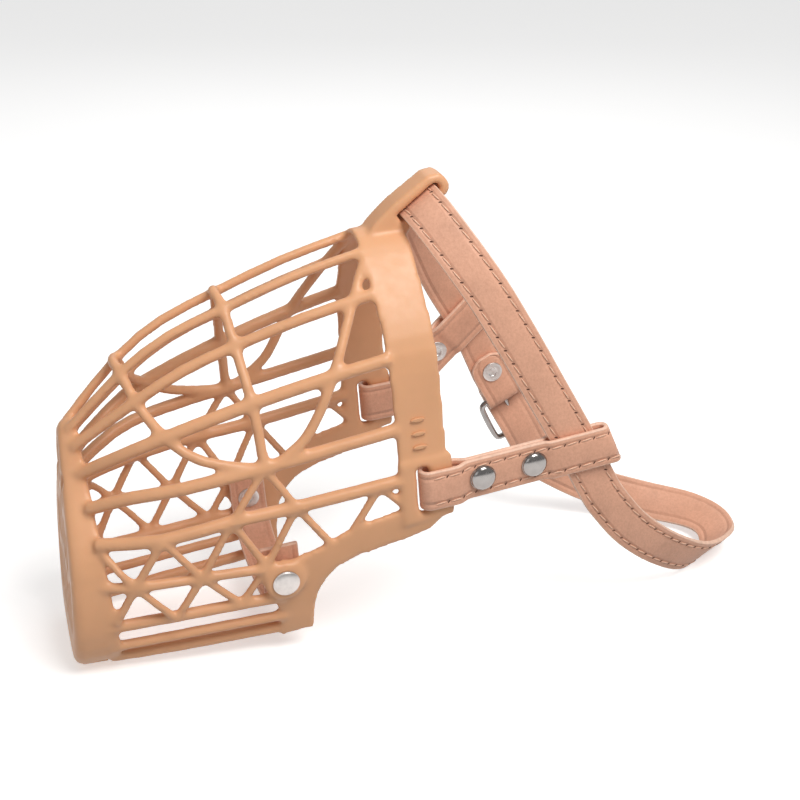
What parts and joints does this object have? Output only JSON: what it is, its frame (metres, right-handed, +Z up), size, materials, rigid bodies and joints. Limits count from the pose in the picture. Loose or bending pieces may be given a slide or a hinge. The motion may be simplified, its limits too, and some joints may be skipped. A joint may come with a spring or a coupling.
{
  "type": "basket muzzle",
  "caption": "Dog basket muzzle: moulded plastic cage with slotted nose cap, lattice sides, rim band and riveted leather straps with a prong buckle.",
  "frame": {"origin": "centre of the lower face of the foot under the nose cap, where the muzzle stands", "axes": "+Z up as it stands, +Y from the nose to the neck, +X to the wearer's left"},
  "size_m": [0.0861, 0.2785, 0.1721],
  "materials": {
    "moulded_plastic": "satin",
    "strap_leather": "matte",
    "nickel": "polished"
  },
  "bodies": {
    "muzzle": {"basket_cage": "moulded_plastic", "buckle_rivet_cap": "nickel", "buckle_rivet_post": "nickel", "crown_strap": "strap_leather", "left_chin_rivet_cap": "nickel", "left_chin_rivet_post": "nickel", "neck_strap": "strap_leather", "right_chin_rivet_cap": "nickel", "right_chin_rivet_post": "nickel", "strap_billet": "strap_leather"},
    "left_tab": {"left_side_tab": "strap_leather", "left_tab_rivet_front_cap": "nickel", "left_tab_rivet_front_post": "nickel", "left_tab_rivet_rear_cap": "nickel", "left_tab_rivet_rear_post": "nickel"},
    "right_tab": {"right_side_tab": "strap_leather", "right_tab_rivet_front_cap": "nickel", "right_tab_rivet_front_post": "nickel", "right_tab_rivet_rear_cap": "nickel", "right_tab_rivet_rear_post": "nickel"},
    "chin_sling": {"chin_strap": "strap_leather"},
    "buckle": {"buckle_frame": "nickel"},
    "prong": {"buckle_prong": "nickel"}
  },
  "joints": [
    {"name": "left_tab_tilt", "type": "hinge", "parent": "muzzle", "child": "left_tab", "pos_m": [0.0378, 0.11995, 0.06665], "axis": [1, 0, 0], "range_deg": [-1, 0]},
    {"name": "right_tab_tilt", "type": "hinge", "parent": "muzzle", "child": "right_tab", "pos_m": [-0.0378, 0.11995, 0.06665], "axis": [1, 0, 0], "range_deg": [0, 1.5]},
    {"name": "chin_sling_swing", "type": "hinge", "parent": "muzzle", "child": "chin_sling", "pos_m": [0, 0.06783, 0.03479], "axis": [1, 0, 0], "range_deg": [-12, 12]},
    {"name": "buckle_pivot", "type": "hinge", "parent": "muzzle", "child": "buckle", "pos_m": [-0.0366, 0.17842, 0.06327], "axis": [0, 0.8777, 0.4792], "range_deg": [-1, 1]},
    {"name": "prong_pivot", "type": "hinge", "parent": "buckle", "child": "prong", "pos_m": [-0.0366, 0.17842, 0.06327], "axis": [0, 0.8777, 0.4792], "range_deg": [0, 0.5]}
  ]
}
